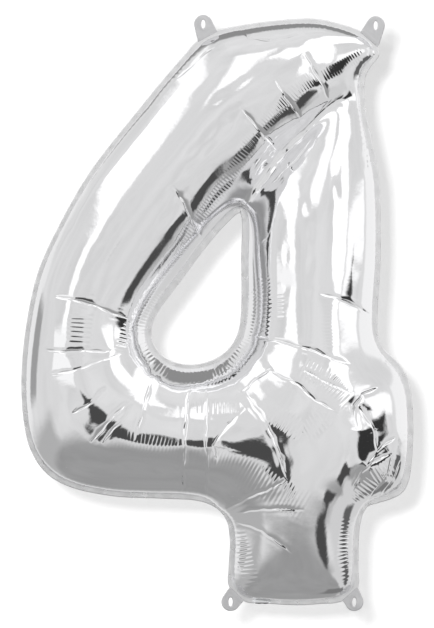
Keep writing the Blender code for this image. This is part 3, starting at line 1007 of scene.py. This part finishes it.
def make_inlet_mark():
    """The dark release coating that shows where the front film stops short of the valve's mouth."""
    low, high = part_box("valve_release_coating")
    columns = MARK_COLUMNS
    across = np.linspace(low.x + 0.002, high.x - 0.002, columns)
    top = MARK_TOP + 0.0003 * np.sin(across / 0.0021)
    bottom = MARK_BOTTOM + 0.0002 * np.sin(across / 0.0013 + 1)
    rows = [top + (bottom - top) * share for share in (0, 0.35, 0.7, 1)]
    points = np.concatenate([np.column_stack([across, np.full(columns, -0.00032), row]) for row in rows])
    tris = []
    for row in range(len(rows) - 1):
        first = row * columns + np.arange(columns - 1)
        tris.append(np.column_stack([first, first + 1, first + columns]))
        tris.append(np.column_stack([first + 1, first + columns + 1, first + columns]))
    points, tris = closed_sheet(points, np.concatenate(tris), 0.00024)
    mark = new_mesh_object("inlet_mark", points, tris)
    mark.data.materials.append(coating_material())
    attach(mark, "envelope")


# ---------------------------------------------------------------- materials

class Nodes:
    """Short names for the nodes of one tree."""

    def __init__(self, tree):
        self.tree = tree

    def add(self, kind, **settings):
        node = self.tree.nodes.new(kind)
        for key, value in settings.items():
            setattr(node, key, value)
        return node

    def put(self, value, socket):
        if isinstance(value, (int, float, tuple)):
            socket.default_value = value
        else:
            self.tree.links.new(value, socket)

    def math(self, operation, a, b=0.0):
        node = self.add("ShaderNodeMath", operation=operation)
        self.put(a, node.inputs[0])
        self.put(b, node.inputs[1])
        return node.outputs[0]

    def ramp(self, value, low, high, a=0.0, b=1.0):
        node = self.add("ShaderNodeMapRange", interpolation_type="SMOOTHSTEP")
        for socket, number in zip(node.inputs, (value, low, high, a, b)):
            self.put(number, socket)
        return node.outputs[0]

    def mix(self, share, a, b):
        node = self.add("ShaderNodeMix", data_type="FLOAT")
        self.put(share, node.inputs[0])
        self.put(a, node.inputs[2])
        self.put(b, node.inputs[3])
        return node.outputs[0]

    def dot(self, vector, direction):
        node = self.add("ShaderNodeVectorMath", operation="DOT_PRODUCT")
        self.put(vector, node.inputs[0])
        node.inputs[1].default_value = direction
        return node.outputs["Value"]

    def noise(self, vector, scale, detail=2.0):
        node = self.add("ShaderNodeTexNoise")
        self.put(vector, node.inputs["Vector"])
        node.inputs["Scale"].default_value = scale
        node.inputs["Detail"].default_value = detail
        return node.outputs["Fac"]

    def bump(self, height, distance, under=None):
        node = self.add("ShaderNodeBump")
        node.inputs["Strength"].default_value = 1.0
        node.inputs["Distance"].default_value = distance
        self.put(height, node.inputs["Height"])
        if under is not None:
            self.put(under, node.inputs["Normal"])
        return node.outputs["Normal"]


def new_material(name, colour, metallic, roughness):
    """(material, its nodes, its shader, object coordinates)."""
    material = bpy.data.materials.new(name)
    material.use_nodes = True
    nodes = Nodes(material.node_tree)
    shader = material.node_tree.nodes["Principled BSDF"]
    shader.inputs["Base Color"].default_value = (*colour, 1)
    shader.inputs["Metallic"].default_value = metallic
    shader.inputs["Roughness"].default_value = roughness
    place = nodes.add("ShaderNodeTexCoord").outputs["Object"]
    return material, nodes, shader, place


def uneven_gloss(nodes, shader, place, scale, smoothest, roughest, start=0.3):
    """Soft patches between two roughnesses."""
    patches = nodes.noise(place, scale, 3.0)
    nodes.put(nodes.ramp(patches, start, 0.7, smoothest, roughest), shader.inputs["Roughness"])


def grain(nodes, shader, place, scale, depth, under=None):
    """Small bumps on top of the normal that is under them."""
    nodes.put(nodes.bump(nodes.noise(place, scale, 2.0), depth, under), shader.inputs["Normal"])


def crosshatch(nodes, place, pitch, depth):
    """The normal of a pressed diamond pattern in the plane of the weld."""
    turn = 2 * math.pi / pitch
    first = nodes.math("SINE", nodes.dot(place, (turn, 0, turn)))
    second = nodes.math("SINE", nodes.dot(place, (turn, 0, -turn)))
    return nodes.bump(nodes.math("MULTIPLY", first, second), depth)


@cache
def foil_material():
    """Mirror-bright metallised film: fine cockles, dust-fine grain and slightly uneven gloss."""
    material, nodes, shader, place = new_material("foil", (0.92, 0.92, 0.93), 1.0, 0.06)
    uneven_gloss(nodes, shader, place, 22.0, 0.035, 0.085, start=0.35)
    cockle = nodes.bump(nodes.noise(place, 95.0, 2.0), 0.00010)
    grain(nodes, shader, place, 900.0, 0.000004, cockle)
    return material


@cache
def weld_material():
    """The heat-sealed margin: satin, with the sealing bar's fine crosshatch and a cloudy gloss."""
    material, nodes, shader, place = new_material("weld", (0.96, 0.96, 0.965), 1.0, 0.2)
    uneven_gloss(nodes, shader, place, 120.0, 0.26, 0.40)
    grain(nodes, shader, place, 260.0, 0.00004, crosshatch(nodes, place, 0.0016, 0.00002))
    return material


@cache
def tab_film_material():
    """The flat tabs: two films sealed face to face, duller than the balloon."""
    material, nodes, shader, place = new_material("tab_film", (0.71, 0.71, 0.72), 0.9, 0.4)
    uneven_gloss(nodes, shader, place, 160.0, 0.32, 0.5)
    grain(nodes, shader, place, 300.0, 0.00010, crosshatch(nodes, place, 0.0020, 0.00003))
    return material


@cache
def coating_material():
    """Dark release lacquer at the valve's mouth, slightly streaky."""
    material, nodes, shader, place = new_material("release_coating", (0.05, 0.05, 0.055), 0.2, 0.5)
    uneven_gloss(nodes, shader, place, 400.0, 0.35, 0.6)
    grain(nodes, shader, place, 700.0, 0.00005)
    return material


@cache
def ply_material():
    """The valve's thin milky plies."""
    material, nodes, shader, place = new_material("valve_ply", (0.82, 0.83, 0.84), 0.0, 0.35)
    shader.inputs["Transmission Weight"].default_value = 0.45
    uneven_gloss(nodes, shader, place, 180.0, 0.28, 0.5)
    grain(nodes, shader, place, 350.0, 0.00008)
    return material


def repaint(name, material):
    """Gives a CAD node that stays in view a finished material."""
    slots = frame["nodes"][name].material_slots
    for slot in slots:
        slot.material = material
    if not slots:
        frame["nodes"][name].data.materials.append(material)


# ---------------------------------------------------------------- studio

def direction(azimuth, elevation):
    """Azimuth 0 is towards the camera, 90 to the right; degrees."""
    a, e = math.radians(azimuth), math.radians(elevation)
    return Vector((math.sin(a) * math.cos(e), -math.cos(a) * math.cos(e), math.sin(e)))


# Soft boxes and dark cards round the balloon, as it mirrors them: azimuth, elevation, roll,
# half width and half height in degrees, softness in degrees, and brightness.
CARDS = (
    (-68, 38, 20, 26, 8, 5, 1.30),
    (-95, 50, 0, 30, 6, 5, 1.10),
    (68, 54, 0, 36, 11, 5, 1.30),
    (-8, 45, 0, 9, 18, 5, 1.20),
    (-43, 16, 0, 7, 14, 4, 1.15),
    (46, 24, 0, 9, 20, 4, 1.20),
    (78, 8, 0, 20, 6, 4, 1.10),
    (142, 8, 0, 36, 14, 6, 0.95),
    (-52, 3, 0, 18, 5, 4, 1.00),
    (-150, 4, 0, 24, 14, 6, 0.86),
    (-112, -30, 0, 34, 13, 12, 0.46),
    (118, -33, 0, 32, 15, 6, 0.66),
    (178, 40, 0, 26, 20, 8, 0.28),
    (-120, 2, 0, 11, 8, 5, 0.36),
    (67, -7, -12, 15, 8, 5, 0.035),
    (62, -30, 20, 8, 7, 5, 0.07),
    (115, -21, 0, 8, 13, 5, 0.12),
    (-14.5, -15, 0, 12.5, 11, 5, 0.07),
    (132, -52, 0, 9, 12, 5, 0.20),
)
SKY = 0.74                  # brightness of the room round the balloon
SKY_DRIFT = 0.30            # how much that brightness wanders
TOP = 0.80                  # brightness overhead
TOP_EDGE = 62               # degrees up
FLOOR_TONE = 0.34
FLOOR_EDGE = -29            # degrees


def card(nodes, vector, light, azimuth, elevation, roll, half_width, half_height, soft, level):
    """The light after one card: within its softened rectangle it has the card's brightness."""
    centre = direction(azimuth, elevation)
    right = centre.cross(Vector((0, 0, 1))).normalized()
    up = right.cross(centre)
    turn = math.radians(roll)
    across = right * math.cos(turn) + up * math.sin(turn)
    along = up * math.cos(turn) - right * math.sin(turn)
    ahead = nodes.math("MAXIMUM", nodes.dot(vector, tuple(centre)), 0.01)
    masks = []
    for side, half in ((across, half_width), (along, half_height)):
        place = nodes.math("ABSOLUTE", nodes.math("DIVIDE", nodes.dot(vector, tuple(side)), ahead))
        inner = math.tan(math.radians(half - soft / 2))
        outer = math.tan(math.radians(half + soft / 2))
        masks.append(nodes.ramp(place, inner, outer, 1.0, 0.0))
    mask = nodes.math("MULTIPLY", masks[0], masks[1])
    return nodes.mix(mask, light, level)


def room_light(nodes, vector):
    """Brightness of the room in each direction: a wandering pale sky, a brighter top and a darker floor."""
    up = nodes.dot(vector, (0, 0, 1))
    sky = nodes.ramp(up, math.sin(math.radians(TOP_EDGE)), 1.0, SKY, TOP)
    wander = nodes.math("SUBTRACT", nodes.noise(vector, 3.2, 4.0), 0.5)
    drift = nodes.math("MULTIPLY", wander, SKY_DRIFT)
    floor = nodes.math("ADD", nodes.math("MULTIPLY", drift, 0.4), FLOOR_TONE)
    edge = math.sin(math.radians(FLOOR_EDGE))
    below = nodes.ramp(up, edge - 0.19, edge + 0.07, 1.0, 0.0)
    return nodes.mix(below, nodes.math("ADD", sky, drift), floor)


def make_world():
    """The studio as the balloon mirrors it, plain white to the camera."""
    world = bpy.data.worlds.new("studio")
    bpy.context.scene.world = world
    world.use_nodes = True
    nodes = Nodes(world.node_tree)
    vector = nodes.add("ShaderNodeTexCoord").outputs["Generated"]
    light = room_light(nodes, vector)
    for row in CARDS:
        light = card(nodes, vector, light, *row)
    seen = nodes.add("ShaderNodeLightPath").outputs["Is Camera Ray"]
    background = world.node_tree.nodes["Background"]
    background.inputs["Color"].default_value = (1, 1, 1, 1)
    nodes.put(nodes.mix(seen, light, 1.0), background.inputs["Strength"])
    world.cycles_visibility.diffuse = False


def make_camera():
    camera = bpy.data.cameras.new("camera")
    holder = bpy.data.objects.new("camera", camera)
    bpy.context.scene.collection.objects.link(holder)
    holder.location = (CAMERA_AIM[0], -CAMERA_DISTANCE, CAMERA_AIM[2])
    holder.rotation_euler = (math.radians(90), 0, 0)
    camera.sensor_fit = "VERTICAL"
    camera.angle_y = 2 * math.atan(VIEW_HEIGHT / 2 / CAMERA_DISTANCE)
    bpy.context.scene.camera = holder


def stage_plane(name, corners, glow):
    """A pale plane seen from one side only, which catches the balloon's soft shadow."""
    mesh = bpy.data.meshes.new(name)
    mesh.from_pydata(corners, [], [(0, 1, 2, 3)])
    plane = bpy.data.objects.new(name, mesh)
    bpy.context.scene.collection.objects.link(plane)
    material = bpy.data.materials.new(name)
    material.use_nodes = True
    nodes = Nodes(material.node_tree)
    shader = material.node_tree.nodes["Principled BSDF"]
    shader.inputs["Base Color"].default_value = (0.5, 0.5, 0.5, 1)
    shader.inputs["Roughness"].default_value = 0.9
    shader.inputs["Emission Color"].default_value = (1, 1, 1, 1)
    shader.inputs["Emission Strength"].default_value = glow
    clear = nodes.add("ShaderNodeBsdfTransparent")
    both = nodes.add("ShaderNodeMixShader")
    nodes.put(nodes.add("ShaderNodeNewGeometry").outputs["Backfacing"], both.inputs[0])
    nodes.put(shader.outputs[0], both.inputs[1])
    nodes.put(clear.outputs[0], both.inputs[2])
    nodes.put(both.outputs[0], material.node_tree.nodes["Material Output"].inputs["Surface"])
    mesh.materials.append(material)
    plane.visible_glossy = False


def make_stage():
    """The backdrop, the floor and the key lamp, which throws the soft shadow."""
    wall = [(-3, WALL_Y, FLOOR_Z), (3, WALL_Y, FLOOR_Z), (3, WALL_Y, 2), (-3, WALL_Y, 2)]
    stage_plane("backdrop", wall, 0.55)
    floor = [(-3, -3, FLOOR_Z), (3, -3, FLOOR_Z), (3, 3, FLOOR_Z), (-3, 3, FLOOR_Z)]
    stage_plane("floor", floor, 0.42)
    key = bpy.data.lights.new("key", "AREA")
    key.energy = KEY_POWER
    key.size = KEY_SIZE
    lamp = bpy.data.objects.new("key", key)
    bpy.context.scene.collection.objects.link(lamp)
    lamp.location = KEY_PLACE
    towards = Vector(KEY_AIM) - lamp.location
    lamp.rotation_euler = towards.to_track_quat("-Z", "Y").to_euler()
    lamp.visible_glossy = False
    bpy.context.scene.view_settings.view_transform = "Standard"


# ---------------------------------------------------------------- the whole model

def make_balloon():
    smooth = smooth_film()
    outer, counter = make_film("front_film", smooth, 4, -1)
    make_film("back_film", smooth, 9, 1)
    make_weld("outer_heat_seal", outer, -1)
    make_weld("counter_heat_seal", counter, 1)
    for name in TAB_NAMES:
        make_tab(name)
    make_inlet_mark()
    for name in ("valve_neck", "valve_front_tongue", "valve_back_tongue"):
        repaint(name, ply_material())
    repaint("valve_release_coating", coating_material())


make_camera()
make_world()
make_stage()
make_balloon()
